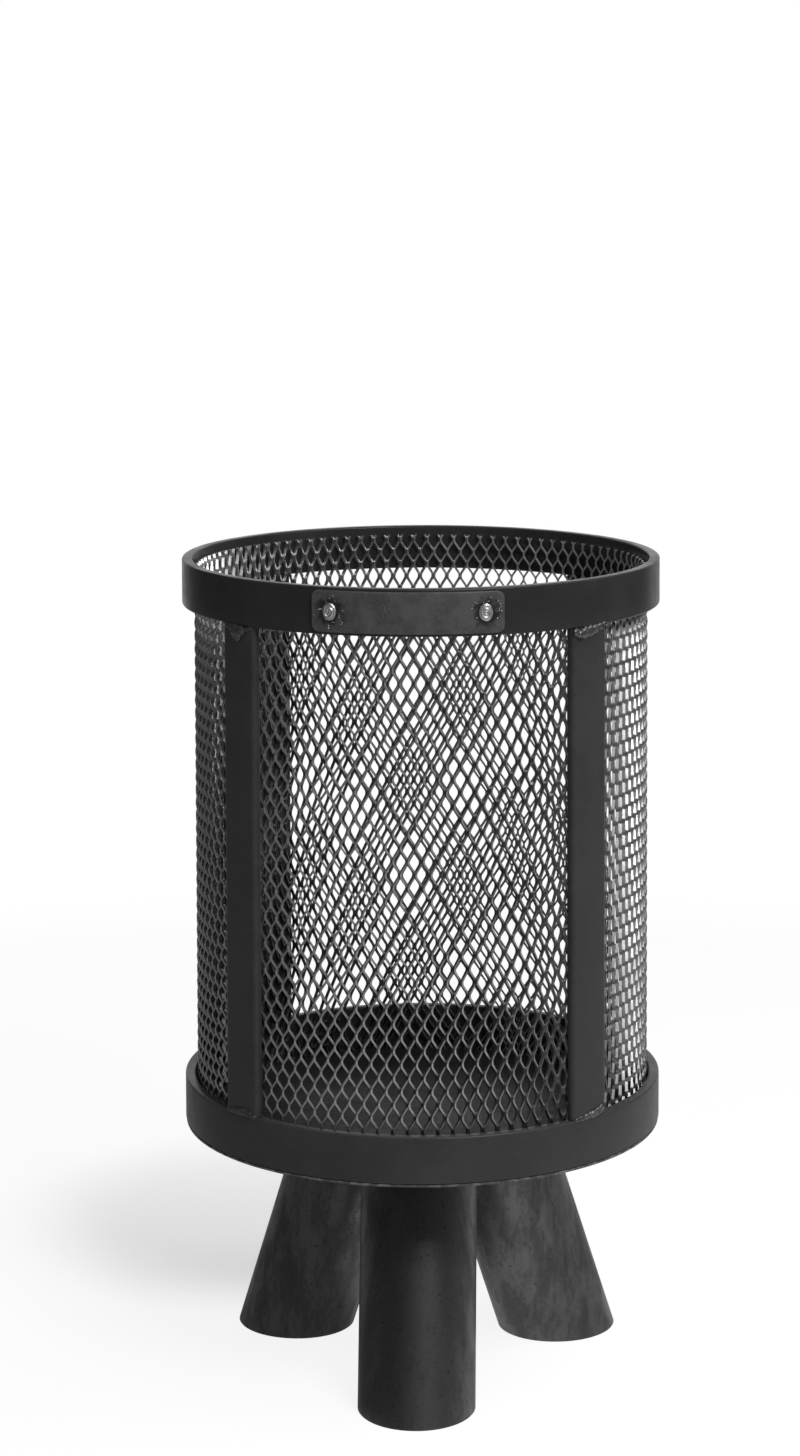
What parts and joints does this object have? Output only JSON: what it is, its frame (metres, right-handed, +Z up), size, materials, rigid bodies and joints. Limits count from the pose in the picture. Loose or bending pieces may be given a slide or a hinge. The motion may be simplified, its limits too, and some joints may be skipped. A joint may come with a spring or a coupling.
{
  "type": "fire basket",
  "caption": "Outdoor fire basket: a cylinder of expanded metal between flat-bar hoops and uprights, on a round base and splayed tube legs, with a blank plate on the rim.",
  "frame": {"origin": "on the ground, on the basket's axis, below the middle of the hoops", "axes": "+Z up along the basket's axis; the front, where the plate and one leg are, faces -Y; +X is to the right seen from the front"},
  "size_m": [0.37, 0.3723, 0.63],
  "materials": {
    "hoop_steel": "dark anthracite, satin",
    "mesh_steel": "bare grey steel, satin",
    "leg_steel": "dark mill scale, mottled, satin",
    "plate_steel": "dark grey, satin",
    "weld_bead": "dark weld metal, satin",
    "bare_weld": "bare weld metal, glossy"
  },
  "bodies": {
    "root": {"top_hoop": "hoop_steel", "bottom_hoop": "hoop_steel", "base_plate": "hoop_steel", "basket_mesh": "mesh_steel", "upright_front_left": "hoop_steel", "upright_front_right": "hoop_steel", "upright_rear_right": "hoop_steel", "upright_rear_left": "hoop_steel", "top_bead_front_left": "weld_bead", "top_bead_front_right": "weld_bead", "top_bead_rear_right": "weld_bead", "top_bead_rear_left": "weld_bead", "bottom_bead_front_left": "weld_bead", "bottom_bead_front_right": "weld_bead", "bottom_bead_rear_right": "weld_bead", "bottom_bead_rear_left": "weld_bead", "leg_front": "leg_steel", "leg_rear_right": "leg_steel", "leg_rear_left": "leg_steel", "leg_bead_front": "weld_bead", "leg_bead_rear_right": "weld_bead", "leg_bead_rear_left": "weld_bead", "name_plate": "plate_steel", "plug_weld_left": "bare_weld", "plug_weld_right": "bare_weld"}
  },
  "joints": []
}
